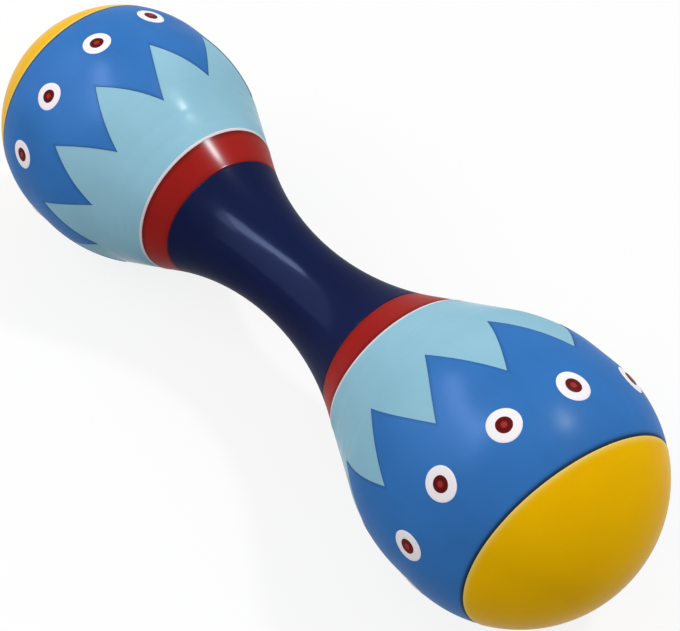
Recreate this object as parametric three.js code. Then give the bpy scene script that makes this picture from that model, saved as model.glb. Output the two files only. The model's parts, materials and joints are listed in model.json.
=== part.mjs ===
// A double shaker: a painted wooden rattle with a hollow ball head at each end of a waisted grip.
// Millimetres, +Z up. The toy lies along X with its middle at x = 0, and z = 0 is the surface under it.
// Every turned piece is drawn as a profile of [distance from the middle, radius] points.
import * as THREE from "three";

// Outside shape of one half, from the middle of the grip to the tip of a head
const WAIST_RADIUS = 9.7;
const NECK_SLOPE_DEGREES = 26.3;
const FLANK_ARC_RADIUS = 34.75;
const HEAD_RADIUS = 28;
const HEAD_STATION = 63;
const LAND_WIDTH = 5;
const END_DEPTH = 27.4;

// Places of the glued joints, from the middle of the grip
const COLLAR_STATION = 26.1;
const COLLAR_WIDTH = 6.9;
const CAP_STATION = 79;

// Joinery inside
const HEAD_WALL = 6.5;
const TENON_RADIUS = 7;
const TENON_SETBACK = 0.5;
const SPIGOT_RADIUS = 17.7;
const SPIGOT_LENGTH = 3.7;
const SPIGOT_WALL = 2.7;
const RECESS_DEPTH = 8.6;
const JOINT_CLEARANCE = 0.3;
const GLUE_LINE = 0.3;

// Loose beads, in rows across each chamber
const BEAD_RADIUS = 3;
const BEAD_PITCH = 7.2;
const BEAD_ROWS = [3, 4, 3];
const BEAD_CLEARANCE = 0.3;

// Fineness of the facets
const FACETS = 32;
const WAIST_STEPS = 8;
const COLLAR_STEPS = 2;
const FLANK_STEPS = 8;
const SHOULDER_STEPS = 5;
const DOME_STEPS = 7;
const CHAMBER_STEPS = 14;
const RECESS_STEPS = 5;
const BEAD_FACETS = 12;
const BEAD_RINGS = 8;

// Places that follow from the sizes above
const landStart = HEAD_STATION - LAND_WIDTH / 2;
const landEnd = HEAD_STATION + LAND_WIDTH / 2;
const neckStation = COLLAR_STATION + COLLAR_WIDTH;
const chamberRadius = HEAD_RADIUS - HEAD_WALL;
const boreRadius = TENON_RADIUS + JOINT_CLEARANCE;
const mouthRadius = SPIGOT_RADIUS + JOINT_CLEARANCE;
const mouthDepth = SPIGOT_LENGTH + JOINT_CLEARANCE;
const halfGlue = GLUE_LINE / 2;

// The neck is a straight slope between a hollow arc along the waist and a round arc on the head's flank.
// The waist's arc is the one that starts level at the middle of the grip and runs smoothly into that slope.
const neckSlope = THREE.MathUtils.degToRad(NECK_SLOPE_DEGREES);
const neckRise = HEAD_RADIUS - WAIST_RADIUS;
const slopeExcess = landStart * Math.sin(neckSlope) - neckRise * Math.cos(neckSlope);
const waistArcRadius = slopeExcess / (1 - Math.cos(neckSlope)) - FLANK_ARC_RADIUS;
const waistEnd = waistArcRadius * Math.sin(neckSlope);
const flankStart = landStart - FLANK_ARC_RADIUS * Math.sin(neckSlope);

// A flat of every turned piece faces straight down, at the true radius: the edges stand a little outside it.
const edgeReach = 1 / Math.cos(Math.PI / FACETS);

const paint = (color, roughness) => new THREE.MeshStandardMaterial({ color, roughness, metalness: 0 });
const navyPaint = paint("#1e2949", 0.3);
const redPaint = paint("#9c1a14", 0.28);
const bluePaint = paint("#3f7cc4", 0.3);
const yellowPaint = paint("#d0a008", 0.3);
const beadWood = paint("#c89a62", 0.55);

// Radius of the turned outline at a distance from the middle of the toy
function outsideRadius(station) {
  const x = Math.abs(station);
  if (x <= waistEnd) {
    return WAIST_RADIUS + waistArcRadius - Math.sqrt(waistArcRadius ** 2 - x ** 2);
  }
  if (x < flankStart) {
    return outsideRadius(waistEnd) + (x - waistEnd) * Math.tan(neckSlope);
  }
  if (x < landStart) {
    return HEAD_RADIUS - FLANK_ARC_RADIUS + Math.sqrt(FLANK_ARC_RADIUS ** 2 - (landStart - x) ** 2);
  }
  if (x <= landEnd) {
    return HEAD_RADIUS;
  }
  return HEAD_RADIUS * Math.sqrt(Math.max(0, 1 - ((x - landEnd) / END_DEPTH) ** 2));
}

// Evenly spaced values, both ends included
function spread(from, to, steps) {
  return Array.from({ length: steps + 1 }, (_, i) => from + ((to - from) * i) / steps);
}

// Outline points between two stations
function outline(from, to, steps) {
  return spread(from, to, steps).map((x) => [x, outsideRadius(x)]);
}

// Outline points on a head's round end, evenly spaced by angle so that they close up towards the tip
function roundEnd(from, to, steps) {
  const angle = (x) => Math.asin(Math.min(1, (x - landEnd) / END_DEPTH));
  return spread(angle(from), angle(to), steps).map((turn) => [
    landEnd + END_DEPTH * Math.sin(turn),
    HEAD_RADIUS * Math.cos(turn),
  ]);
}

// Points on a hollow ball that is centred on the axis, between two angles from the outward direction
function hollow(centre, radius, from, to, steps) {
  return spread(from, to, steps).map((turn) => [
    centre + radius * Math.cos(turn),
    radius * Math.sin(turn),
  ]);
}

// A named mesh, turned about the X axis from a profile
function turned(name, profile, material) {
  const points = profile.map(([x, r]) => new THREE.Vector2(Math.max(0, r) * edgeReach, x));
  const geometry = new THREE.LatheGeometry(points, FACETS, Math.PI / FACETS);
  geometry.rotateZ(-Math.PI / 2);
  const mesh = new THREE.Mesh(geometry, material);
  mesh.name = name;
  return mesh;
}

// The grip's tenons stop just short of the chambers.
function makeGrip() {
  const shoulder = COLLAR_STATION - halfGlue;
  const neckInside = HEAD_STATION - Math.sqrt(chamberRadius ** 2 - boreRadius ** 2);
  const tenonEnd = neckInside - TENON_SETBACK;
  const profile = [
    [-tenonEnd, 0],
    [-tenonEnd, TENON_RADIUS],
    [-shoulder, TENON_RADIUS],
    ...outline(-shoulder, shoulder, 2 * WAIST_STEPS),
    [shoulder, TENON_RADIUS],
    [tenonEnd, TENON_RADIUS],
    [tenonEnd, 0],
  ];
  return turned("grip", profile, navyPaint);
}

function makeCollar(side) {
  const inner = COLLAR_STATION + halfGlue;
  const outer = neckStation - halfGlue;
  const profile = [
    [inner, boreRadius],
    ...outline(inner, outer, COLLAR_STEPS),
    [outer, boreRadius],
    [inner, boreRadius],
  ];
  return turned(`collar_${side}`, profile, redPaint);
}

// A shell with a ball chamber, a through bore for the tenon and a wide mouth for the cap
function makeHead(side) {
  const neck = neckStation + halfGlue;
  const rim = CAP_STATION - halfGlue;
  const mouthFloor = rim - mouthDepth;
  const mouthAngle = Math.acos((mouthFloor - HEAD_STATION) / chamberRadius);
  const boreAngle = Math.PI - Math.asin(boreRadius / chamberRadius);
  const profile = [
    [neck, boreRadius],
    ...outline(neck, landStart, FLANK_STEPS),
    ...roundEnd(landEnd, rim, SHOULDER_STEPS),
    [rim, mouthRadius],
    [mouthFloor, mouthRadius],
    ...hollow(HEAD_STATION, chamberRadius, mouthAngle, boreAngle, CHAMBER_STEPS),
    [neck, boreRadius],
  ];
  return turned(`head_${side}`, profile, bluePaint);
}

// A dome with a spigot, hollowed by a shallow ball so that the chamber goes on into it
function makeEndCap(side) {
  const flange = CAP_STATION + halfGlue;
  const tip = landEnd + END_DEPTH;
  const spigotEnd = flange - GLUE_LINE - SPIGOT_LENGTH;
  const recessRadius = SPIGOT_RADIUS - SPIGOT_WALL;
  const ballRadius = (recessRadius ** 2 + RECESS_DEPTH ** 2) / (2 * RECESS_DEPTH);
  const ballCentre = spigotEnd + RECESS_DEPTH - ballRadius;
  const recessAngle = Math.atan2(recessRadius, ballRadius - RECESS_DEPTH);
  const profile = [
    ...hollow(ballCentre, ballRadius, 0, recessAngle, RECESS_STEPS),
    [spigotEnd, SPIGOT_RADIUS],
    [flange, SPIGOT_RADIUS],
    ...roundEnd(flange, tip, DOME_STEPS),
  ];
  return turned(`end_cap_${side}`, profile, yellowPaint);
}

// Beads lie on the chamber's floor in a close pattern, each under a clear lane of its own.
function makeBeads(side) {
  const lift = chamberRadius - BEAD_RADIUS - BEAD_CLEARANCE;
  const rowPitch = BEAD_PITCH * Math.sin(Math.PI / 3);
  const beads = [];
  BEAD_ROWS.forEach((count, row) => {
    const along = (row - (BEAD_ROWS.length - 1) / 2) * rowPitch;
    for (let i = 0; i < count; i++) {
      const across = (i - (count - 1) / 2) * BEAD_PITCH;
      const bead = new THREE.Mesh(new THREE.SphereGeometry(BEAD_RADIUS, BEAD_FACETS, BEAD_RINGS), beadWood);
      bead.name = `bead_${side}_${String(beads.length + 1).padStart(2, "0")}`;
      bead.position.set(HEAD_STATION + along, across, -Math.sqrt(lift ** 2 - along ** 2 - across ** 2));
      beads.push(bead);
    }
  });
  return beads;
}

// One end of the toy, built towards +X
function makeEnd(side) {
  const end = new THREE.Group();
  end.add(makeCollar(side), makeHead(side), makeEndCap(side), ...makeBeads(side));
  return end;
}

const shaker = new THREE.Group();
const rightEnd = makeEnd("right");
const leftEnd = makeEnd("left");
leftEnd.rotation.z = Math.PI;
shaker.add(makeGrip(), rightEnd, leftEnd);
shaker.children.forEach((child) => {
  child.position.z = HEAD_RADIUS;
});

export default shaker;
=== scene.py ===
# %% [markdown]
# # A painted double shaker
# This lesson dresses a wooden rattle with a hollow ball head at each end of a waisted grip. The construction
# is ready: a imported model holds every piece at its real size, and this script gives each one its fine
# surface, its paint and its light. It starts by loading that model, and everything after it stays in the same
# frame: metres, X along the toy, Z up, and the table at z = 0.

# %% Load the frame
import json
import math

import bmesh
import bpy
from mathutils import Matrix, Vector

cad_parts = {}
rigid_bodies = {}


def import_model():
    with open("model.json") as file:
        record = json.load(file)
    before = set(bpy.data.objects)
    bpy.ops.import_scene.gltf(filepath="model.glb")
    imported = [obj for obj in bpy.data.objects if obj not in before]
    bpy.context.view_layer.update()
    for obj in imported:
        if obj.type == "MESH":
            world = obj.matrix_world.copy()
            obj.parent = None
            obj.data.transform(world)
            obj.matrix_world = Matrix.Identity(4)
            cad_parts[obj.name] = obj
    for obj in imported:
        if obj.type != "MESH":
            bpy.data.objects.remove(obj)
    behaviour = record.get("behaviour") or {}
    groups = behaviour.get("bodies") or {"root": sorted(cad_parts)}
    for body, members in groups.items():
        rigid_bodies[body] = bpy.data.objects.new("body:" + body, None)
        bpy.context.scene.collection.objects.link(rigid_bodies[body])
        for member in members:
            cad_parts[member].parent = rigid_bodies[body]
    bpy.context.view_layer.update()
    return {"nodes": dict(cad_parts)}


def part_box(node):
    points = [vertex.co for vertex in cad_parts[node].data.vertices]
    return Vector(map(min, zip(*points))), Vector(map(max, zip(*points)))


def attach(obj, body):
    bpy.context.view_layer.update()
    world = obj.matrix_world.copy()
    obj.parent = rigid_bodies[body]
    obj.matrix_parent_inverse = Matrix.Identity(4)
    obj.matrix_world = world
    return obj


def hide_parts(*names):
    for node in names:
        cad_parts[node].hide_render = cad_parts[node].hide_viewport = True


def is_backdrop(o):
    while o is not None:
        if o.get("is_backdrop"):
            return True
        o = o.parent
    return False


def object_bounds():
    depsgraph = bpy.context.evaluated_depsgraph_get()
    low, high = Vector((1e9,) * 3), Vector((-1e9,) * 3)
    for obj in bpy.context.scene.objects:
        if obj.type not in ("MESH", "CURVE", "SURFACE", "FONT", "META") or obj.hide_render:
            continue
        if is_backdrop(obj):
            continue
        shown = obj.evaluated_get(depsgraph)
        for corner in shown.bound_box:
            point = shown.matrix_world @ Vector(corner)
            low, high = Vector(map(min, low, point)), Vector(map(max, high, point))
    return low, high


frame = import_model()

# %% [markdown]
# ## The sizes that everything shares
# A turned toy is one outline spun about an axis, so a handful of sizes describe its whole outside. They could
# all be typed in again, but the loaded pieces already hold most of them: a box gives a head's radius, the
# height of the axis and the place of every glued joint. Only the slopes of the outline have to be named here.

# %% Read the main sizes from the frame
MM = 0.001
head_low, head_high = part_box("head_right")
collar_low, collar_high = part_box("collar_right")
cap_low, cap_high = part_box("end_cap_right")

AXIS_HEIGHT = (head_low.z + head_high.z) / 2
HEAD_RADIUS = (head_high.z - head_low.z) / 2
GLUE_LINE = head_low.x - collar_high.x
COLLAR_STATION = collar_low.x - GLUE_LINE / 2
NECK_STATION = collar_high.x + GLUE_LINE / 2
CAP_STATION = head_high.x + GLUE_LINE / 2
TIP_STATION = cap_high.x

WAIST_RADIUS = 9.7 * MM
NECK_SLOPE = math.radians(26.3)
FLANK_ARC_RADIUS = 34.75 * MM
LAND_START = 60.5 * MM
LAND_END = 65.5 * MM
print("head radius", round(HEAD_RADIUS / MM, 2), "tip", round(TIP_STATION / MM, 2), "mm")

# %% [markdown]
# ## The outline as a formula
# A hollow arc runs along the waist, a straight slope climbs the neck, a round arc turns over the head's
# flank, and half an ellipse closes the end. One function of the distance from the middle covers all four, and
# every piece and every coat of paint asks it for a radius, so nothing can drift apart.

# %% Radius and slope of the outline
neck_rise = HEAD_RADIUS - WAIST_RADIUS
slope_excess = LAND_START * math.sin(NECK_SLOPE) - neck_rise * math.cos(NECK_SLOPE)
waist_arc_radius = slope_excess / (1 - math.cos(NECK_SLOPE)) - FLANK_ARC_RADIUS
waist_end = waist_arc_radius * math.sin(NECK_SLOPE)
flank_start = LAND_START - FLANK_ARC_RADIUS * math.sin(NECK_SLOPE)
end_depth = TIP_STATION - LAND_END


def outside_radius(station):
    """Radius of the toy at a distance from its middle."""
    x = abs(station)
    if x <= waist_end:
        return WAIST_RADIUS + waist_arc_radius - math.sqrt(waist_arc_radius**2 - x**2)
    if x < flank_start:
        return outside_radius(waist_end) + (x - waist_end) * math.tan(NECK_SLOPE)
    if x < LAND_START:
        return HEAD_RADIUS - FLANK_ARC_RADIUS + math.sqrt(FLANK_ARC_RADIUS**2 - (LAND_START - x) ** 2)
    if x <= LAND_END:
        return HEAD_RADIUS
    return HEAD_RADIUS * math.sqrt(max(0.0, 1 - ((x - LAND_END) / end_depth) ** 2))


def outside_lean(station, reach=0.05 * MM):
    """How fast the radius changes along the toy."""
    near = max(station - reach, 0.0)
    far = min(station + reach, TIP_STATION)
    return (outside_radius(far) - outside_radius(near)) / (far - near)


print("waist arc", round(waist_arc_radius / MM, 1), "mm, neck ends at", round(flank_start / MM, 1), "mm")

# %% [markdown]
# ## From rings of points to a piece
# Blender's Screw modifier could spin an outline, but paint with a zigzag edge isn't a spun shape. A loft over
# rings of points makes both: each ring is a closed line round the toy, or one point where a piece closes on
# the axis.

# %% Loft rings into a mesh
SMOOTH_EDGE = math.radians(40)


def spread(start, stop, steps):
    """Evenly spaced values with both ends."""
    return [start + (stop - start) * i / steps for i in range(steps + 1)]


def loft(bm, rings, closed):
    """Adds a skin over rings to a bmesh. A ring of one point is a pole."""
    made = [[bm.verts.new(point) for point in ring] for ring in rings]
    following = made[1:] + (made[:1] if closed else [])
    for lower, upper in zip(made, following):
        around = max(len(lower), len(upper))
        for i in range(around):
            j = (i + 1) % around
            start, stop = [(ring[i % len(ring)], ring[j % len(ring)]) for ring in (lower, upper)]
            corners = [start[0], start[1], stop[1], stop[0]]
            bm.faces.new(list(dict.fromkeys(corners)))


def finished_piece(name, bm, finish, rim=None):
    """Turns a bmesh into a smooth piece. rim holds a value for each vertex, one where painted shade or a
    painted highlight on a coat's edge is strongest.
    """
    bmesh.ops.recalc_face_normals(bm, faces=bm.faces)
    mesh = bpy.data.meshes.new(name)
    bm.to_mesh(mesh)
    bm.free()
    if rim:
        mesh.attributes.new("rim", "FLOAT", "POINT").data.foreach_set("value", rim)
    mesh.shade_smooth()
    mesh.set_sharp_from_angle(angle=SMOOTH_EDGE)
    mesh.materials.append(finish)
    piece = bpy.data.objects.new(name, mesh)
    bpy.context.scene.collection.objects.link(piece)
    print("made", name, "with", len(mesh.polygons), "faces")
    return piece


# %% Turn a profile about the toy's axis
ROUND_STEPS = 160
ON_AXIS = 0.01 * MM


def ring_at(x, radius, steps=ROUND_STEPS):
    """A ring round the axis, or the point where a profile meets it."""
    if radius < ON_AXIS:
        return [(x, 0.0, AXIS_HEIGHT)]
    turns = [2 * math.pi * i / steps for i in range(steps)]
    return [(x, -radius * math.cos(t), AXIS_HEIGHT + radius * math.sin(t)) for t in turns]


def for_each_point(rings, values):
    """A value for each ring, repeated for each of its points."""
    return [value for ring, value in zip(rings, values) for _ in ring]


def turned(name, profile, finish, closed=False, painted_shade_and_highlight=None):
    """A piece spun from (place along X, radius) points, with a rim value for each, if there are any."""
    rings = [ring_at(x, r) for x, r in profile]
    bm = bmesh.new()
    loft(bm, rings, closed)
    return finished_piece(name, bm, finish, painted_shade_and_highlight and for_each_point(rings, painted_shade_and_highlight))


def eased(corner, before, after, radius, steps=4):
    """A small round in place of a profile's corner."""
    corner, before, after = Vector(corner), Vector(before), Vector(after)
    start = corner + (before - corner).normalized() * radius
    stop = corner + (after - corner).normalized() * radius
    path = [start.lerp(corner, t).lerp(corner.lerp(stop, t), t) for t in spread(0.0, 1.0, steps)]
    return [tuple(p) for p in path]


# %% [markdown]
# ## Shader maths in plain Python
# Node trees are hard to read as code, because every sum is a node and two links. One small class fixes that:
# it wraps a socket, and adding or multiplying it adds the Math node behind the scenes. A second class holds
# one material, and its one method makes any other node from a type, its settings and its inputs.

# %% A socket that can be used in sums
class Reading:
    """A value in a material's node tree."""

    def __init__(self, finish, socket):
        self.finish = finish
        self.socket = socket

    def sum(self, operation, first, second):
        return self.finish.node("ShaderNodeMath", {"operation": operation}, {0: first, 1: second})

    def __add__(self, other):
        return self.sum("ADD", self, other)

    __radd__ = __add__

    def __sub__(self, other):
        return self.sum("SUBTRACT", self, other)

    def __rsub__(self, other):
        return self.sum("SUBTRACT", other, self)

    def __mul__(self, other):
        return self.sum("MULTIPLY", self, other)

    __rmul__ = __mul__

    def __truediv__(self, other):
        return self.sum("DIVIDE", self, other)

    def __gt__(self, other):
        return self.sum("GREATER_THAN", self, other)

    def __pow__(self, other):
        return self.sum("POWER", self, other)


# %% A material with one method for its nodes
def linear(code):
    """A colour written as a web code, as the linear numbers that a shader takes."""
    parts = [int(code[i:i + 2], 16) / 255 for i in (1, 3, 5)]
    curve = [p / 12.92 if p <= 0.04045 else ((p + 0.055) / 1.055) ** 2.4 for p in parts]
    return tuple(curve) + (1.0,)


class Finish:
    """A material and the nodes in it."""

    def __init__(self, name, shader="ShaderNodeBsdfPrincipled"):
        self.material = bpy.data.materials.new(name)
        self.start_tree(self.material, shader, "ShaderNodeOutputMaterial")

    def start_tree(self, owner, shader, output):
        """Empties a material's or a world's node tree and puts in a shader and an output."""
        owner.use_nodes = True
        self.tree = owner.node_tree
        self.tree.nodes.clear()
        self.shader = self.tree.nodes.new(shader)
        end = self.tree.nodes.new(output)
        self.tree.links.new(self.shader.outputs[0], end.inputs["Surface"])

    def set(self, target, inputs):
        """Puts numbers, colours or readings on a node's inputs."""
        for key, value in inputs.items():
            if isinstance(value, Reading):
                self.tree.links.new(value.socket, target.inputs[key])
            else:
                target.inputs[key].default_value = value

    def node(self, kind, settings=None, inputs=None, output=0):
        """Makes a node and gives back one of its outputs."""
        made = self.tree.nodes.new(kind)
        for key, value in (settings or {}).items():
            setattr(made, key, value)
        self.set(made, inputs or {})
        return Reading(self, made.outputs[output])


# %% [markdown]
# ## Gloss paint on turned wood
# All the colours on this toy are the same stuff: enamel on sanded wood, mostly under a thin clear varnish.
# Close up, such paint isn't even. It dries to a faint orange-peel skin, the brush leaves fine rings because
# the toy turns while it is painted, the lathe leaves wider ones, the grain of the wood telegraphs through as
# long soft streaks, and the tone clouds a little. So one recipe makes every colour, and only the colour, the
# gloss and the strength of the marks change. The varnish is the shader's coat: its weight caps how white the
# rims of the toy may shine, which plain gloss can't. The pale blue and the yellow have no varnish, and their
# soft shine is the enamel's own. A photograph could be wrapped round instead, but noise in the toy's own
# coordinates has no seams and no resolution.

# %% The paint recipe
PEEL_SIZE = 1.3 * MM
RING_PITCH = 0.45 * MM
LATHE_PITCH = 2.0 * MM
CLOUD_SIZE = 14 * MM
GRAIN_WIDTH = 2.2 * MM
GRAIN_LENGTH = 34 * MM
VARNISH_IOR = 1.8
RUBBED_WIDTH = 6 * MM
RUBBED_GAIN = 0.3
RING_WANDER = 12.0
LATHE_WANDER = 25.0
MEAN_NOISE = 0.5
CLOUD_DEPTH = 1.6
MEAN_SHADE = 0.4
SKIN_HEIGHT = 0.7
RING_HEIGHT = 0.25
GRAIN_HEIGHT = 0.5
BUMP_STRENGTH = 0.6
CLOUD_DULLNESS = 0.10
SKIN_DULLNESS = 0.06


def stretched_noise(finish, scale, detail, roughness=0.5):
    """Noise in the toy's own space, with a scale for each axis, in features for each metre."""
    place = finish.node("ShaderNodeTexCoord", output="Object")
    mapped = finish.node("ShaderNodeMapping", {"vector_type": "POINT"},
                         {"Vector": place, "Scale": scale})
    return finish.node("ShaderNodeTexNoise", {"noise_dimensions": "3D"},
                       {"Vector": mapped, "Scale": 1.0, "Detail": detail, "Roughness": roughness})


def blend(finish, share, first, second):
    """A colour between two, by a share from nought to one."""
    return finish.node("ShaderNodeMix", {"data_type": "RGBA", "clamp_factor": True},
                       {0: share, 6: first, 7: second}, output=2)


def unrubbed(finish, station):
    """Nought on the ring that hands polish, rising to one on both sides of it."""
    place = finish.node("ShaderNodeTexCoord", output="Object")
    along = finish.node("ShaderNodeSeparateXYZ", None, {0: place}, output="X")
    away = finish.node("ShaderNodeMath", {"operation": "ABSOLUTE"}, {0: along}) - station
    rise = (away / RUBBED_WIDTH) ** 2.0
    return finish.node("ShaderNodeMath", {"operation": "MINIMUM"}, {0: rise, 1: 1.0})


def gloss_paint(name, colour, shade, varnish, grain, blur=0.24, peel=0.010 * MM, rim=None,
                body_shine=0.02, body_blur=0.4, lathe=0.05 * MM, rubbed=None):
    """Enamel: colour in the open, shade where the coat is thin over the grain, and rim, a colour laid along a
    coat's edge as painted shade or a painted highlight.
    varnish and blur are the clear coat's weight and dullness, body_shine and body_blur the enamel's own,
    and rubbed is the distance from the middle of the toy where hands polish it."""
    paint = Finish(name)
    cloud = stretched_noise(paint, (1 / CLOUD_SIZE,) * 3, 3.0)
    streak = stretched_noise(paint, (1 / GRAIN_LENGTH, 1 / GRAIN_WIDTH, 1 / GRAIN_WIDTH), 4.0, 0.6)
    skin = stretched_noise(paint, (1 / PEEL_SIZE,) * 3, 2.0)
    rings = stretched_noise(paint, (1 / RING_PITCH, RING_WANDER, RING_WANDER), 2.0)
    chatter = stretched_noise(paint, (1 / LATHE_PITCH, LATHE_WANDER, LATHE_WANDER), 1.0)
    thin = (streak - MEAN_NOISE) * grain + (cloud - MEAN_NOISE) * CLOUD_DEPTH + MEAN_SHADE
    tone = blend(paint, thin, linear(colour), linear(shade))
    if rim:
        # The rim colour is painted shade or a painted highlight, laid along a coat's edge by the vertex value
        # rim.
        edge = paint.node("ShaderNodeAttribute", {"attribute_name": "rim"}, output="Fac")
        tone = blend(paint, edge, tone, linear(rim))
    height = skin * SKIN_HEIGHT + rings * RING_HEIGHT + streak * GRAIN_HEIGHT + chatter * (lathe / peel)
    bump = paint.node("ShaderNodeBump", None,
                      {"Strength": BUMP_STRENGTH, "Distance": peel, "Height": height})
    dullness = (cloud - MEAN_NOISE) * CLOUD_DULLNESS + (skin - MEAN_NOISE) * SKIN_DULLNESS + body_blur
    if rubbed:
        dullness = dullness + unrubbed(paint, rubbed) * RUBBED_GAIN
    paint.set(paint.shader, {
        "Base Color": tone,
        "Roughness": dullness,
        "Normal": bump,
        "Specular IOR Level": body_shine,
        "Coat Weight": varnish,
        "Coat Roughness": blur,
        "Coat IOR": VARNISH_IOR,
    })
    return paint.material


# %% Mix the colours
navy_enamel = gloss_paint("navy_enamel", "#111c47", "#0c1538", varnish=0.03, blur=0.14, grain=0.6,
                          body_shine=0.01)
# The red's rim colour is painted shade: the collars go darker along both edges, in the joints.
red_enamel = gloss_paint("red_enamel", "#a61b15", "#921612", varnish=0.062, blur=0.20, grain=0.5,
                         rim="#4a0807")
pale_enamel = gloss_paint("pale_blue_enamel", "#99c9dd", "#8dc0d4", varnish=0.0, grain=0.4, body_shine=0.025,
                          body_blur=0.19, lathe=0.25 * MM, rubbed=40.2 * MM)
# The blue's rim colour is painted shade in a thin line beside the yellow, and a little darker along the
# teeth.
blue_enamel = gloss_paint("blue_enamel", "#3879c2", "#306db2", varnish=0.026, blur=0.27, grain=0.4,
                          rim="#1b324e")
# The yellow's rim colour is a painted highlight: the yellow goes lighter along its edge.
yellow_enamel = gloss_paint("yellow_enamel", "#fbc200", "#f1b600", varnish=0.0, grain=0.4, body_shine=0.02,
                            body_blur=0.30, rim="#f6d66a")

dot_coat = {"varnish": 0.05, "blur": 0.3, "grain": 0.2}
white_enamel = gloss_paint("white_enamel", "#fffcff", "#f8f2f7", **dot_coat)
dark_red_enamel = gloss_paint("dark_red_enamel", "#6d1013", "#560b0f", **dot_coat)
bright_red_enamel = gloss_paint("bright_red_enamel", "#a8352c", "#962a25", **dot_coat)
filler_enamel = gloss_paint("filler_enamel", "#ebe1e4", "#dccfd4", varnish=0.05, blur=0.4, grain=0.3)
print("paints:", [m.name for m in bpy.data.materials if m.name.endswith("enamel")])

# %% [markdown]
# ## Bare wood
# On the tenons, inside the heads and on the beads the wood is bare. Beech has a warm pale ground, long fine
# streaks and short dark flecks, the rays. The streaks are noise drawn out along X, the way the blanks were
# cut, and the flecks are a finer noise cut off high, so that only its peaks show.

# %% The wood recipe
FLECK_WIDTH = 0.5 * MM
FLECK_LENGTH = 2.4 * MM
STREAK_START = 0.35
STREAK_CONTRAST = 2.2
FLECK_CUT = 0.62
FLECK_STRENGTH = 0.55
WOOD_BUMP = {"Strength": 0.5, "Distance": 0.03 * MM}
FLECK_HEIGHT = 0.4
WOOD_DULLNESS = 0.45
STREAK_DULLNESS = 0.2


def bare_beech(name, colour, streak_colour, fleck_colour):
    """Sanded beech with grain along X."""
    wood = Finish(name)
    streak = stretched_noise(wood, (1 / GRAIN_LENGTH, 1 / GRAIN_WIDTH, 1 / GRAIN_WIDTH), 6.0, 0.65)
    fleck = stretched_noise(wood, (1 / FLECK_LENGTH, 1 / FLECK_WIDTH, 1 / FLECK_WIDTH), 2.0)
    drawn_out = (streak - STREAK_START) * STREAK_CONTRAST
    ground = blend(wood, drawn_out, linear(colour), linear(streak_colour))
    tone = blend(wood, (fleck > FLECK_CUT) * FLECK_STRENGTH, ground, linear(fleck_colour))
    bump = wood.node("ShaderNodeBump", None, {**WOOD_BUMP, "Height": streak + fleck * FLECK_HEIGHT})
    dullness = streak * STREAK_DULLNESS + WOOD_DULLNESS
    wood.set(wood.shader, {"Base Color": tone, "Roughness": dullness, "Normal": bump})
    return wood.material


turned_beech = bare_beech("turned_beech", "#dcb98a", "#c99f6c", "#a97c4c")
bead_beech = bare_beech("bead_beech", "#d2a56c", "#bb8a52", "#93643a")
print("woods:", turned_beech.name, bead_beech.name)

# %% [markdown]
# ## Joints that lean
# Grip, rings and heads were sawn by hand, so their faces aren't quite square to the axis, and the red bands
# come out wider on one side than on the other. Each face could be modelled at its own slant, but a lathe
# turns square pieces, so the lean comes afterwards: the points near a joint move along the toy and slide on
# the outline, which stays true.

# %% Let the joints lean
JOINT_LEANS = {
    "left": {"grip": (-0.029, -0.049), "head": (0.034, -0.036)},
    "right": {"grip": (0.0, 0.0), "head": (0.075, 0.039)},
}
JOINT_SKIN = 1 * MM


def leaning(station, turn, lean):
    """Distance along the toy of a station on a ring that leans."""
    radius = outside_radius(station)
    return station + radius * (lean[1] * math.sin(turn) - lean[0] * math.cos(turn))


def joint_shift(station, turn, leans):
    """How far a point near a collar moves along the toy. A joint's pull ends a collar's width away."""
    shift = 0.0
    for joint, place in (("grip", COLLAR_STATION), ("head", NECK_STATION)):
        pull = max(0.0, 1 - abs(station - place) / (NECK_STATION - COLLAR_STATION))
        shift += pull * (leaning(place, turn, leans[joint]) - place)
    return shift


def lean_joints(piece):
    """Moves a turned piece's points with the joints beside them. Those in its skin stay on the outline."""
    for vertex in piece.data.vertices:
        x, across, rise = vertex.co.x, vertex.co.y, vertex.co.z - AXIS_HEIGHT
        station, radius = abs(x), math.hypot(across, rise)
        leans = JOINT_LEANS["left" if x < 0 else "right"]
        moved = station + joint_shift(station, math.atan2(rise, -across), leans)
        growth = 1.0
        if radius > outside_radius(station) - JOINT_SKIN:
            growth = 1 + (outside_radius(moved) - outside_radius(station)) / radius
        vertex.co = (math.copysign(moved, x), across * growth, AXIS_HEIGHT + rise * growth)
    piece.data.update()
    print("leaned the joints of", piece.name)


# %% [markdown]
# ## The grip
# The grip is a spool turned from one piece: a hollow waist for a small hand, a flat shoulder at each end and
# a round tenon beyond it that is glued through the collar into the head. Only the waist shows, so the waist
# gets the fine steps. Its shoulder's edge is eased by a fifth of a millimetre, because sanded wood has no
# knife edges, and that leaves the hairline where the navy meets the red. Paint would spoil a glued joint, so
# all that lies well under the outline stays bare, and the faces there take a second material.

# %% Turn the grip
EASED_EDGE = 0.2 * MM
HAIRLINE = 0.02 * MM
WAIST_STEPS = 60
TENON_RADIUS = 7 * MM
tenon_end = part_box("grip")[1].x


def half_of_grip():
    """Profile from the middle of the waist to the end of a tenon."""
    shoulder = COLLAR_STATION - HAIRLINE
    waist = [(x, outside_radius(x)) for x in spread(0.0, shoulder - 2 * EASED_EDGE, WAIST_STEPS)]
    rim = eased((shoulder, outside_radius(shoulder)), waist[-1], (shoulder, TENON_RADIUS), EASED_EDGE)
    return waist + rim + [(shoulder, TENON_RADIUS), (tenon_end, TENON_RADIUS), (tenon_end, 0.0)]


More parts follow.
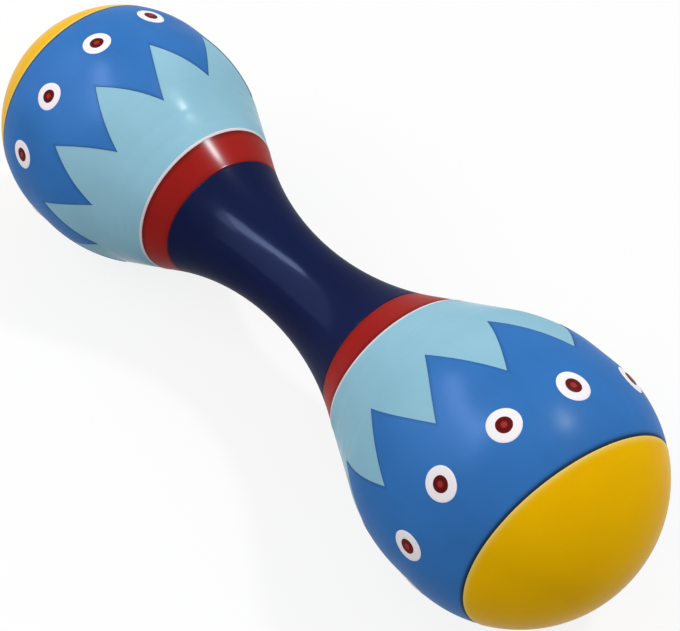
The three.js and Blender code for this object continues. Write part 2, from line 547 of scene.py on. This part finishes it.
def bare_inside(piece, bare):
    """Gives the faces that lie well under the outline a second, bare material."""
    piece.data.materials.append(bare)
    for face in piece.data.polygons:
        across = math.hypot(face.center.y, face.center.z - AXIS_HEIGHT)
        if across < outside_radius(abs(face.center.x)) - EASED_EDGE:
            face.material_index = 1


half = half_of_grip()
grip = turned("navy_grip", [(-x, r) for x, r in reversed(half[1:])] + half, navy_enamel)
bare_inside(grip, turned_beech)
lean_joints(grip)
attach(grip, "toy")
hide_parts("grip")

# %% [markdown]
# ## The collars
# Each red band is a ring that slips over the tenon and hides the joint. It follows the outline between the
# grip and the head, with both its edges eased. A closed profile, spun, gives the ring with its bore. The red
# is painted darker along both edges, most beside the head: painted shade in the joints.

# %% Turn the two collars
SIDES = {"left": -1, "right": 1}
COLLAR_STEPS = 16
BORE_RADIUS = TENON_RADIUS + GLUE_LINE
# These sizes set the painted shade along the collar's edges, strongest beside the head.
JOINT_SHADE_WIDTH = 1.4 * MM
JOINT_SHADE_AT_HEAD = 0.65
JOINT_SHADE_AT_GRIP = 0.3
HEAD_STEEPNESS = 1.5


def collar_profile():
    """The closed section of a collar, towards +X."""
    start = COLLAR_STATION + HAIRLINE
    stop = NECK_STATION - HAIRLINE
    places = spread(start + 2 * EASED_EDGE, stop - 2 * EASED_EDGE, COLLAR_STEPS)
    face = [(x, outside_radius(x)) for x in places]
    inner_rim = eased((start, outside_radius(start)), (start, BORE_RADIUS), face[0], EASED_EDGE)
    outer_rim = eased((stop, outside_radius(stop)), face[-1], (stop, BORE_RADIUS), EASED_EDGE)
    return [(start, BORE_RADIUS)] + inner_rim + face + outer_rim + [(stop, BORE_RADIUS)]


def painted_joint_shade(x):
    """How strongly painted shade darkens the red at a distance from the middle of the toy."""
    to_head = HEAD_STEEPNESS * (1 - (NECK_STATION - x) / JOINT_SHADE_WIDTH)
    to_grip = 1 - (x - COLLAR_STATION) / JOINT_SHADE_WIDTH
    return JOINT_SHADE_AT_HEAD * min(1.0, max(0.0, to_head)) + JOINT_SHADE_AT_GRIP * max(0.0, to_grip)


section = collar_profile()
for side, sign in SIDES.items():
    collar = turned(f"red_collar_{side}", [(sign * x, r) for x, r in section], red_enamel, closed=True,
                    painted_shade_and_highlight=[painted_joint_shade(x) for x, _ in section])
    bare_inside(collar, turned_beech)
    lean_joints(collar)
    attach(collar, "toy")
    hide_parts(f"collar_{side}")

# %% [markdown]
# ## The heads
# A head is a hollow shell: a ball chamber for the beads, a bore at the neck for the tenon and a wide mouth at
# the end, which the cap closes. The whole shell wears the pale blue ground coat outside and is bare inside,
# where the chamber's walls lie on a ball round the middle of the head.

# %% Turn the two head shells
CHAMBER_RADIUS = 21.5 * MM
MOUTH_RADIUS = 18 * MM
MOUTH_DEPTH = 4 * MM
HEAD_STEPS = 90
CHAMBER_STEPS = 40
head_station = (LAND_START + LAND_END) / 2


def head_profile():
    """The closed section of a head shell, towards +X."""
    neck = NECK_STATION + HAIRLINE
    rim = CAP_STATION - HAIRLINE
    outside = [(x, outside_radius(x)) for x in spread(neck + 2 * EASED_EDGE, rim, HEAD_STEPS)]
    neck_rim = eased((neck, outside_radius(neck)), (neck, BORE_RADIUS), outside[0], EASED_EDGE)
    floor = rim - MOUTH_DEPTH
    mouth_turn = math.acos((floor - head_station) / CHAMBER_RADIUS)
    bore_turn = math.pi - math.asin(BORE_RADIUS / CHAMBER_RADIUS)
    chamber = [(head_station + CHAMBER_RADIUS * math.cos(t), CHAMBER_RADIUS * math.sin(t))
               for t in spread(mouth_turn, bore_turn, CHAMBER_STEPS)]
    mouth = [(rim, MOUTH_RADIUS), (floor, MOUTH_RADIUS)]
    return [(neck, BORE_RADIUS)] + neck_rim + outside + mouth + chamber


section = head_profile()
for side, sign in SIDES.items():
    shell = turned(f"head_shell_{side}", [(sign * x, r) for x, r in section], pale_enamel, closed=True)
    bare_inside(shell, turned_beech)
    lean_joints(shell)
    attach(shell, "toy")
    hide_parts(f"head_{side}")

# %% [markdown]
# ## The end caps
# A cap is a turned dome with a spigot that sits in the head's mouth. It is hollowed by a shallow ball, so
# that the chamber goes on into it. The joint between cap and head is sanded and painted over, so this piece
# stays under the coats that come next, and its own surface is bare wood.

# %% Turn the two caps
SPIGOT_WALL = 2.7 * MM
RECESS_DEPTH = 8.6 * MM
DOME_STEPS = 40
RECESS_STEPS = 24


def cap_profile():
    """From the bottom of the recess, over the spigot and the dome to the tip, towards +X."""
    flange = CAP_STATION + HAIRLINE
    spigot_radius = MOUTH_RADIUS - GLUE_LINE
    recess_radius = spigot_radius - SPIGOT_WALL
    ball = (recess_radius**2 + RECESS_DEPTH**2) / (2 * RECESS_DEPTH)
    middle = cap_low.x + RECESS_DEPTH - ball
    recess_turn = math.atan2(recess_radius, ball - RECESS_DEPTH)
    recess = [(middle + ball * math.cos(t), ball * math.sin(t))
              for t in spread(0.0, recess_turn, RECESS_STEPS)]
    first = math.asin((flange - LAND_END) / end_depth)
    dome = [(LAND_END + end_depth * math.sin(t), HEAD_RADIUS * math.cos(t))
            for t in spread(first, math.pi / 2, DOME_STEPS)]
    return recess + [(cap_low.x, spigot_radius), (flange, spigot_radius)] + dome


section = cap_profile()
for side, sign in SIDES.items():
    cap = turned(f"end_dome_{side}", [(sign * x, r) for x, r in section], turned_beech)
    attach(cap, "toy")
    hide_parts(f"end_cap_{side}")

# %% [markdown]
# ## Where the paint goes
# The pattern is painted by hand on each head after the pieces are glued. So each head has its own start
# angle, its own small slip along the axis and its own slight lean, and each tooth and dot wanders by a degree
# or two and a few tenths of a millimetre. All that is kept in one table. Painting it into one texture would
# be quicker, but coats with real edges stay sharp at any distance, and their rims catch the light as brushed
# edges do.

# %% The hand of the painter
TEETH = 11
PITCH = 2 * math.pi / TEETH
HEADS = {
    "right": {
        "sign": 1, "start": 5.5, "slip": 0.6, "lean": (0.100, 0.057),
        "yellow": {"station": 80.0, "lean": (0.097, 0.0), "dip": 0.55, "dip_turn": 18.6},
        "peaks": [(0.5, -0.4), (1.1, -0.6), (1.3, -0.3), (-1.1, 0.6), (14.0, -0.5), (10.5, -0.2), (7.8, -0.2),
                  (6.0, 0.3), (3.4, -0.3), (2.0, 0.1), (-0.4, -0.2)],
        "points": [(0.4, -0.6), (0.2, -0.2), (-0.6, 0.2), (0.4, 0.5), (10.0, 0.4), (7.6, 0.0), (6.8, -0.3),
                   (4.1, 0.2), (3.0, 0.4), (0.9, -0.5), (-3.5, -1.8)],
        "dots": [(2.4, 0.2), (1.4, -0.4), (-0.6, -0.1), (-2.5, 0.3), (2.6, 0.3), (5.4, 0.3), (5.8, -0.3),
                 (4.7, 0.1), (2.9, 0.4), (2.0, -0.2), (0.9, 0.1)],
    },
    "left": {
        "sign": -1, "start": 15.8, "slip": -0.7, "lean": (0.059, -0.066),
        "yellow": {"station": 76.6, "lean": (0.059, -0.066), "dip": 0.2, "dip_turn": 140.0},
        "peaks": [(-3.2, 0.3), (-1.0, -0.4), (3.8, 0.1), (3.6, 1.4), (13.0, 0.8), (10.2, 0.4), (7.4, -0.3),
                  (5.3, 0.4), (2.9, 0.0), (1.4, -0.2), (-2.0, 0.4)],
        "points": [(-0.2, -0.7), (0.0, -1.0), (0.3, -0.1), (6.0, 3.0), (10.0, 0.9), (8.2, 0.3), (5.6, -0.2),
                   (4.4, 0.1), (2.2, 0.4), (0.8, -0.3), (-0.7, 0.2)],
        "dots": [(0.1, 0.0), (-0.6, -1.2), (-1.1, -0.6), (-0.3, 1.2), (4.0, 0.8), (6.1, 0.2), (5.0, -0.3),
                 (4.2, 0.3), (2.2, -0.4), (0.9, 0.2), (-8.0, 0.5)],
    },
}


def mark_place(head, kind, number, station, share=0.0):
    """Turn and station of one tooth or dot, moved by the painter's hand."""
    wander, slide = head[kind][number % TEETH]
    turn = math.radians(head["start"] + wander) + (number + share) * PITCH
    return turn, station + (head["slip"] + slide) * MM


def yellow_edge(head, turn):
    """Distance along the toy where the yellow starts: a leaning ring that dips twice on its way round."""
    ring = head["yellow"]
    dip = ring["dip"] * MM * math.cos(2 * (turn - math.radians(ring["dip_turn"])))
    return leaning(ring["station"] * MM, turn, ring["lean"]) - dip


# %% Lay a point of the pattern on a head
def on_head(head, x, turn, lift):
    """A point on a head's outside, lifted along the surface's own direction."""
    x = min(x, TIP_STATION)
    across, height = -math.cos(turn), math.sin(turn)
    radius = outside_radius(x)
    normal = Vector((-outside_lean(x) * head["sign"], across, height)).normalized()
    point = Vector((head["sign"] * x, radius * across, AXIS_HEIGHT + radius * height))
    return tuple(point + normal * lift)


# %% [markdown]
# ## The blue coat with its zigzag edge
# Eleven pale points run up into the blue. The coat is a thin closed film: its lower edge goes from tooth to
# tooth, its upper edge tucks under the yellow, and a few rows close to each edge round the film over, as a
# brushed edge dries. The blue is painted dark in a thin line beside the yellow, as painted shade in the
# crease under the yellow's edge, and a little darker along the teeth. A value on each vertex carries that
# to the paint.

# %% Make the blue coats
COLUMNS_PER_FLANK = 16
PEAK_STATION = 45.2 * MM
POINT_STATION = 58.4 * MM
BLUE_COAT = 0.10 * MM
SUNK = 0.06 * MM
TUCK = 0.5
EDGE_ROWS = [(0.0, 0.0), (0.05, 0.55), (0.13, 0.95), (0.25, 1.08), (0.5, 1.0), (0.9, 1.0),
             (1.4, 1.0)]
# The rim values darken the blue a little along the teeth, and those in LAP_ROWS paint it dark beside the
# yellow: painted shade.
EDGE_RIM = [0.45, 0.45, 0.4, 0.28, 0.2, 0.12, 0.0]
LAP_ROWS = [(1.5, 0.0), (1.1, 0.25), (0.85, 0.8), (0.7, 1.0), (0.5, 1.0), (0.25, 1.0)]
COAT_ROWS = 40


def zigzag_columns(head):
    """Turns round a head, each with the place of the blue coat's lower edge."""
    corners = []
    for number in range(TEETH + 1):
        corners.append(mark_place(head, "peaks", number, PEAK_STATION))
        corners.append(mark_place(head, "points", number, POINT_STATION, 0.5))
    columns = []
    for (turn, station), (next_turn, next_station) in zip(corners[:-2], corners[1:-1]):
        for share in spread(0.0, 1.0, COLUMNS_PER_FLANK)[:-1]:
            t = turn + (next_turn - turn) * share
            edge = station + (next_station - station) * share
            columns.append((t, leaning(edge, t, head["lean"])))
    return columns


def coat_rows():
    """Each row across the coat: share of the way, nudge in mm, share of the thickness, rim."""
    rising = [(0.0, d, part, rim) for (d, part), rim in zip(EDGE_ROWS, EDGE_RIM)]
    first, last = EDGE_ROWS[-1][0], LAP_ROWS[0][0]
    level = [(s, first * (1 - s) - last * s, 1.0, 0.0) for s in spread(0.0, 1.0, COAT_ROWS)[1:-1]]
    lap = [(1.0, -d, 1.0, rim) for d, rim in LAP_ROWS]
    under = [(s, 0.0, -SUNK / BLUE_COAT, 0.0) for s in spread(1.0, 0.0, COAT_ROWS)]
    return rising + level + lap + under


for side, head in HEADS.items():
    columns = zigzag_columns(head)
    rows = coat_rows()
    rings = []
    for share, nudge, part, _ in rows:
        ring = []
        for turn, low in columns:
            high = yellow_edge(head, turn) + TUCK * MM
            x = low * (1 - share) + high * share + nudge * MM
            ring.append(on_head(head, x, turn, part * BLUE_COAT))
        rings.append(ring)
    painted_shade_and_highlight = for_each_point(rings, [rim for _, _, _, rim in rows])
    bm = bmesh.new()
    loft(bm, rings, closed=True)
    coat = finished_piece(f"blue_coat_{side}", bm, blue_enamel, painted_shade_and_highlight)
    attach(coat, "toy")

# %% [markdown]
# ## The yellow ends
# The yellow covers the cap and laps a little over the blue, so its film is thicker. It runs from a leaning
# ring to the tip of the head, where all its columns meet in one point. Along its edge the brush went round
# twice and the paint is fuller, and the yellow is painted lighter there: a painted highlight on that edge.

# %% Make the yellow coats
YELLOW_COAT = 0.18 * MM
YELLOW_ROWS = 46
YELLOW_COLUMNS = 240
YELLOW_EDGE_SHARE = 0.10
# These values lighten the yellow along its edge: a painted highlight.
YELLOW_PAINTED_HIGHLIGHT = [0.9, 0.9, 0.9, 0.75, 0.4, 0.05, 0.0]
yellow_turns = [2 * math.pi * i / YELLOW_COLUMNS for i in range(YELLOW_COLUMNS)]


def yellow_rings(head):
    """Rings from the tip underneath to the edge, and over the top back to the tip, and the rim value of each.
    The last share of the way to the edge is left to the edge's own rows."""
    edges = [yellow_edge(head, t) for t in yellow_turns]
    shares = [1 - math.cos(t) for t in spread(0.0, math.pi / 2, YELLOW_ROWS)][1:]

    def ring(share, nudge, lift):
        return [on_head(head, TIP_STATION - (TIP_STATION - edge) * share + nudge * MM, t, lift)
                for t, edge in zip(yellow_turns, edges)]

    def tip(lift):
        return [(head["sign"] * (TIP_STATION + lift), 0.0, AXIS_HEIGHT)]

    under = [tip(-SUNK)] + [ring(s, 0.0, -SUNK) for s in shares]
    rim = [ring(1.0, d, part * YELLOW_COAT) for d, part in EDGE_ROWS]
    over = [ring(s, 0.0, YELLOW_COAT) for s in reversed(shares) if s < 1 - YELLOW_EDGE_SHARE]
    painted_shade_and_highlight = [0.0] * len(under) + YELLOW_PAINTED_HIGHLIGHT + [0.0] * (len(over) + 1)
    return under + rim + over + [tip(YELLOW_COAT)], painted_shade_and_highlight


for side, head in HEADS.items():
    rings, painted_shade_and_highlight = yellow_rings(head)
    bm = bmesh.new()
    loft(bm, rings, closed=False)
    coat = finished_piece(f"yellow_coat_{side}", bm, yellow_enamel, for_each_point(rings, painted_shade_and_highlight))
    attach(coat, "toy")

# %% [markdown]
# ## The dots
# A dot is three touches of a round brush: a white spot, a dark red spot in its middle and a lighter fleck on
# that. Each one dries as a low dome. They sit over the blue, in line with the zigzag's teeth, and no two are
# quite round: a pair of slow waves round the rim, set by the dot's own number, takes the compass out of them.

# %% Make the dots
DOT_STATION = 67.0 * MM
DOT_TOUCHES = {
    "white_dots": {"radius": 3.17 * MM, "base": 0.09 * MM, "height": 0.10 * MM, "finish": white_enamel},
    "red_dots": {"radius": 1.55 * MM, "base": 0.17 * MM, "height": 0.07 * MM, "finish": dark_red_enamel},
    "dot_flecks": {"radius": 0.58 * MM, "base": 0.23 * MM, "height": 0.04 * MM, "finish": bright_red_enamel},
}
DOT_DOME = [(0.0, 0.0), (1.0, 0.0), (0.985, 0.45), (0.94, 0.8), (0.85, 0.95), (0.6, 1.0), (0.3, 1.03),
            (0.0, 1.04)]
DOT_COLUMNS = 56
WOBBLE = 0.022
SLOW_WAVES = [(2, 2.4, 1.0), (3, 1.7, 0.6)]


def dot_rings(head, number, touch):
    """Rings of one dot, from its underside to the top of its dome."""
    middle, station = mark_place(head, "dots", number, DOT_STATION)
    x = leaning(station, middle, head["lean"])
    around = outside_radius(x)
    along = math.hypot(1.0, outside_lean(x))
    rings = []
    for share, rise in DOT_DOME:
        lift = touch["base"] + rise * touch["height"]
        points = []
        for i in range(DOT_COLUMNS if share else 1):
            turn = 2 * math.pi * i / DOT_COLUMNS
            uneven = sum(size * math.sin(waves * turn + shift * number) for waves, shift, size in SLOW_WAVES)
            reach = share * touch["radius"] * (1 + WOBBLE * uneven)
            points.append(on_head(head, x + reach * math.cos(turn) / along,
                                  middle + reach * math.sin(turn) / around, lift))
        rings.append(points)
    return rings


for side, head in HEADS.items():
    for name, touch in DOT_TOUCHES.items():
        bm = bmesh.new()
        for number in range(TEETH):
            loft(bm, dot_rings(head, number, touch), closed=False)
        dots = finished_piece(f"{name}_{side}", bm, touch["finish"])
        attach(dots, "toy")

# %% [markdown]
# ## The pale line at the neck
# Where a head meets its collar, a thin whitish line shows all round: glue and filler, wiped smooth. It is a
# slim bead in the hairline, round on top.

# %% Lay the filler line
FILLER_HALF_WIDTH = 0.27 * MM
FILLER_RISE = 0.10 * MM
FILLER_STEPS = 12
for side, sign in SIDES.items():
    section = []
    for t in spread(0.0, 2 * math.pi, FILLER_STEPS)[:-1]:
        x = NECK_STATION + FILLER_HALF_WIDTH * math.cos(t)
        section.append((sign * x, outside_radius(x) + FILLER_RISE * math.sin(t)))
    line = turned(f"neck_filler_{side}", section, filler_enamel, closed=True)
    lean_joints(line)
    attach(line, "toy")

# %% [markdown]
# ## The beads
# Ten loose beads lie on the floor of each chamber. Nobody sees them, but the toy is nothing without them, and
# they show when a head is taken away. A bead is a small turned ball, with a tiny flat at each end where it
# was parted from the stick, and each one rides on its own body, so that it can hop.

# %% Turn the beads
BEAD_STEPS = 20
BEAD_COLUMNS = 28
PARTING_FLAT = 0.16
turns = [2 * math.pi * i / BEAD_COLUMNS for i in range(BEAD_COLUMNS)]
first = math.asin(PARTING_FLAT)
for name in sorted(n for n in frame["nodes"] if n.startswith("bead_")):
    low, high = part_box(name)
    middle = (low + high) / 2
    radius = (high.z - low.z) / 2
    rings = []
    for t in spread(first, math.pi - first, BEAD_STEPS):
        wide, along = radius * math.sin(t), -radius * math.cos(t)
        rings.append([(middle.x + along, middle.y - wide * math.cos(u), middle.z + wide * math.sin(u))
                      for u in turns])
    ends = [[(middle.x + way * radius * math.cos(first), middle.y, middle.z)] for way in (-1, 1)]
    bm = bmesh.new()
    loft(bm, [ends[0]] + rings + [ends[1]], closed=False)
    bead = finished_piece(name.replace("bead", "turned_bead"), bm, bead_beech)
    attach(bead, name)
    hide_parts(name)

# %% [markdown]
# ## The floor and the room
# The toy lies on a plain white floor. A floor that is lit to white would throw too much light back up under
# the toy, so the camera, mirrors and glass see most of the floor as plain white, with the shadow in the rest,
# while light that bounces off it finds a duller one. The world does the same: white to look at, soft and grey
# as a lamp.

# %% Lay the floor
FLOOR_SIZE = 6.0
CHALK_GREY = 0.95
FLOOR_WHITE = 0.84
BOUNCE_GREY = 0.36
ROOM_LIGHT = 0.56


def seen_directly(finish):
    """One where the camera, a mirror or a glass looks, nought for light that bounces."""
    rays = ("Camera", "Glossy", "Transmission")
    seen = [finish.node("ShaderNodeLightPath", output=f"Is {ray} Ray") for ray in rays]
    return finish.node("ShaderNodeMath", {"operation": "MINIMUM"}, {0: seen[0] + seen[1] + seen[2], 1: 1.0})


def grey(value):
    """A grey as a shader takes it."""
    return (value, value, value, 1.0)


def floor_finish():
    """White to look at, with the toy's shadow, and dull for the light that bounces."""
    floor_paint = Finish("floor_white", "ShaderNodeMixShader")
    glow = floor_paint.node("ShaderNodeEmission", None, {"Color": grey(1.0), "Strength": 1.0})
    chalk = floor_paint.node("ShaderNodeBsdfDiffuse", None, {"Color": grey(CHALK_GREY)})
    dull = floor_paint.node("ShaderNodeBsdfDiffuse", None, {"Color": grey(BOUNCE_GREY)})
    white = floor_paint.node("ShaderNodeMixShader", None, {0: FLOOR_WHITE, 1: chalk, 2: glow})
    floor_paint.set(floor_paint.shader, {0: seen_directly(floor_paint), 1: dull, 2: white})
    return floor_paint.material


half_floor = FLOOR_SIZE / 2
floor_mesh = bpy.data.meshes.new("studio_floor")
floor_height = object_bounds()[0].z
corners = [(half_floor * x, half_floor * y, floor_height) for x, y in ((-1, -1), (1, -1), (1, 1), (-1, 1))]
floor_mesh.from_pydata(corners, [], [(0, 1, 2, 3)])
floor_mesh.materials.append(floor_finish())
floor = bpy.data.objects.new("studio_floor", floor_mesh)
bpy.context.scene.collection.objects.link(floor)
floor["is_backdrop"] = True
print("floor at", round(floor_height / MM, 2), "mm")


# %% Set the world
class Room(Finish):
    """The world's node tree, with the same methods as a material."""

    def __init__(self):
        self.world = bpy.data.worlds.new("studio_room")
        self.start_tree(self.world, "ShaderNodeBackground", "ShaderNodeOutputWorld")


room = Room()
brightness = seen_directly(room) * (1 - ROOM_LIGHT) + ROOM_LIGHT
room.set(room.shader, {"Color": grey(1.0), "Strength": brightness})
bpy.context.scene.world = room.world
print("room light", ROOM_LIGHT)

# %% [markdown]
# ## The lamps
# The shine in the photograph gives the lamps away. Cast back through the camera and off the surface, the
# glint on the far head and the streak on its collar point to one small bright window, high and behind. The
# soft spot on the near head points a few degrees beside it, because that head isn't quite true, so it gets a
# glint of its own. The bright line on the grip and the pale clouds on both blue coats point to three panes of
# blue sky above the left end, one after the other, with a wide, dim glow round them. The rest is a soft panel
# and the even light of a white room. Each lamp is placed by direction. A window is brighter than the light
# that it sheds on the paint lets on, so a lamp can be kept to the shine or to the dull light, and to the
# pieces that mirror it.

# %% Hang the lamps
LAMP_DISTANCE = 3.0
toy_middle = Vector((0.0, 0.0, AXIS_HEIGHT))


def hang_lamp(name, direction, width, height, level, along=(1, 0, 0), distance=LAMP_DISTANCE,
              tint=(1, 1, 1), dull=True, shine=True, only_on=None):
    """A flat lamp that faces the toy. Its size is in degrees, and level is the share of a white card's
    brightness that it gives alone. along is the way its width lies. dull and shine tell whether it lights the
    paint and whether it shows in the gloss, and only_on is a collection of the pieces that it is kept to."""
    data = bpy.data.lights.new(name, "AREA")
    data.shape = "RECTANGLE"
    data.size = 2 * distance * math.tan(math.radians(width) / 2)
    data.size_y = 2 * distance * math.tan(math.radians(height) / 2)
    data.energy = level * (math.pi * distance) ** 2
    data.color = tint
    lamp = bpy.data.objects.new(name, data)
    bpy.context.scene.collection.objects.link(lamp)
    lamp.visible_diffuse = dull
    lamp.visible_glossy = shine
    if only_on:
        lamp.light_linking.receiver_collection = only_on
    facing = Vector(direction).normalized()
    sideways = Vector(along)
    sideways = (sideways - facing * sideways.dot(facing)).normalized()
    lamp.location = toy_middle + facing * distance
    lamp.rotation_mode = "QUATERNION"
    turned_to = Matrix((sideways, facing.cross(sideways), facing)).transposed()
    lamp.rotation_quaternion = turned_to.to_quaternion()
    print("hung", name)


# %% Hang the window
def kept_to(name, pieces):
    """A collection of the pieces that a lamp is kept to."""
    kept = bpy.data.collections.new(name)
    for piece in pieces:
        kept.objects.link(bpy.data.objects[piece])
    return kept


WINDOW = Vector((0.13, 0.465, 0.875))
NEAR_WINDOW = Vector((0.243, 0.433, 0.869))
WINDOW_SIZE = (5.5, 5.5)
WINDOW_LEVEL = 0.34
GLINT_LEVEL = 0.90
DAYLIGHT = (0.80, 0.95, 1.0)

near_coat = "blue_coat_right"
others = [piece.name for piece in bpy.context.scene.collection.objects if piece.name != near_coat]
hang_lamp("window", WINDOW, *WINDOW_SIZE, WINDOW_LEVEL)
hang_lamp("window_glint", WINDOW, *WINDOW_SIZE, GLINT_LEVEL, tint=DAYLIGHT, dull=False,
          only_on=kept_to("window_mirrors", others))
hang_lamp("near_glint", NEAR_WINDOW, *WINDOW_SIZE, GLINT_LEVEL, tint=DAYLIGHT, dull=False,
          only_on=kept_to("near_mirror", [near_coat]))

# %% Hang the panel, its glow and the three panes
PANEL_DISTANCE = 0.5
PANEL = {"towards": (-0.42, -0.56, 0.71), "along": (-0.505, 0.470, -0.090), "size": (40.7, 24.0),
         "level": 0.28}
GLOW = {"towards": (-0.569, -0.555, 0.607), "along": (-0.811, 0.546, -0.211), "size": (54.9, 46.9),
        "level": 1.55}
PANES = [
    {"start": (-0.117, -0.543, 0.831), "stop": (-0.243, -0.533, 0.811), "height": 14.5, "level": 0.21},
    {"start": (-0.188, -0.461, 0.867), "stop": (-0.352, -0.312, 0.884), "height": 12.5, "level": 0.81},
    {"start": (-0.352, -0.312, 0.884), "stop": (-0.644, -0.030, 0.765), "height": 8.5, "level": 1.42},
]
SKY = (0.50, 0.64, 1.0)

mirrors = kept_to("sky_mirrors", ["navy_grip", "blue_coat_left", "blue_coat_right"])
in_the_shine = {"distance": PANEL_DISTANCE, "tint": SKY, "dull": False, "only_on": mirrors}
hang_lamp("panel", PANEL["towards"], *PANEL["size"], PANEL["level"], along=PANEL["along"],
          distance=PANEL_DISTANCE, shine=False)
hang_lamp("sky_glow", GLOW["towards"], *GLOW["size"], GLOW["level"], along=GLOW["along"], **in_the_shine)
for pane in PANES:
    start, stop = Vector(pane["start"]), Vector(pane["stop"])
    width = math.degrees(start.angle(stop))
    hang_lamp("sky_pane", start + stop, width, pane["height"], pane["level"], along=stop - start,
              **in_the_shine)

# %% [markdown]
# ## The camera
# The camera stands where the outline of the photographed toy says: looking down at the right-hand head from
# its front, close enough that the far head shrinks a little. Its place comes from two angles, a distance and
# the point it looks at, and its lens from a focal length in pixels of a picture 680 wide.

# %% Place the camera
IMAGE_WIDTH = 680
FOCAL_PIXELS = 1448.3
VIEW_AZIMUTH = math.radians(50.11)
VIEW_ELEVATION = math.radians(47.83)
VIEW_DISTANCE = 297.7 * MM
VIEW_TARGET = Vector((13.25 * MM, 0.0, AXIS_HEIGHT + 1.0 * MM))
SENSOR_WIDTH = 36.0
CLIP_START = 10 * MM

camera_data = bpy.data.cameras.new("photo_camera")
camera_data.sensor_width = SENSOR_WIDTH
camera_data.lens = FOCAL_PIXELS / IMAGE_WIDTH * SENSOR_WIDTH
camera_data.clip_start = CLIP_START
camera = bpy.data.objects.new("photo_camera", camera_data)
bpy.context.scene.collection.objects.link(camera)
reach = math.cos(VIEW_ELEVATION)
back = Vector((math.sin(VIEW_AZIMUTH) * reach, -math.cos(VIEW_AZIMUTH) * reach, math.sin(VIEW_ELEVATION)))
camera.location = VIEW_TARGET + back * VIEW_DISTANCE
camera.rotation_mode = "QUATERNION"
camera.rotation_quaternion = (-back).to_track_quat("-Z", "Y")
bpy.context.scene.camera = camera
bpy.context.scene.view_settings.view_transform = "Standard"
print("lens", round(camera_data.lens, 1), "mm")

# %% [markdown]
# ## The size of the dressed toy
# Paint may stand proud of the solids by a hair, but the toy must not grow. The last line prints the box of
# all the visible pieces.

# %% Print the size of the dressed toy
low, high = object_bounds()
print("visual box, mm:", [round(1000 * v, 2) for v in high - low])
